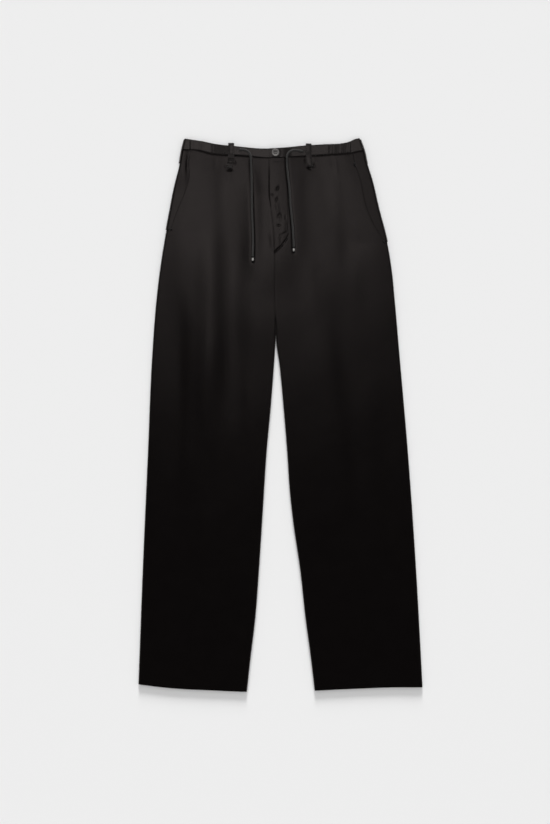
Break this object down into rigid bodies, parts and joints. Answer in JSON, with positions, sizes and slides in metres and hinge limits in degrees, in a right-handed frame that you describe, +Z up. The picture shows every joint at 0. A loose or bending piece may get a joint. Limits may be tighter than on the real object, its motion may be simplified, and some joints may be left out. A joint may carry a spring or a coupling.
{
  "type": "wide-leg drawstring trousers laid flat",
  "caption": "Full-length trousers with wide straight legs, gathered waistband, drawcord, belt loops, button fly and slanted pockets, lying flat.",
  "frame": {"origin": "middle of the laid-out garment's outline, on the surface it lies on", "axes": "+Y towards the waist, +X towards the wearer's left leg, +Z up from the surface"},
  "size_m": [0.568, 1.1062, 0.0128],
  "materials": {
    "cloth": "black satin-faced twill with a soft sheen",
    "band": "black satin-faced twill, doubled",
    "cord": "matt braided yarn",
    "metal": "satin metal",
    "button": "polished dark grey"
  },
  "bodies": {
    "root": {"front_left": "cloth", "front_right": "cloth", "back_left": "cloth", "back_right": "cloth", "pocket_side_left": "cloth", "pocket_side_right": "cloth", "band_front_left": "band", "band_front_right": "band", "band_side_left": "band", "band_side_right": "band", "band_back": "band", "belt_loop_front_left": "band", "belt_loop_front_right": "band", "belt_loop_side_left": "band", "belt_loop_side_right": "band", "button": "button", "drawcord_left": "cord", "drawcord_right": "cord", "cord_tip_left": "metal", "cord_tip_right": "metal"}
  },
  "joints": []
}
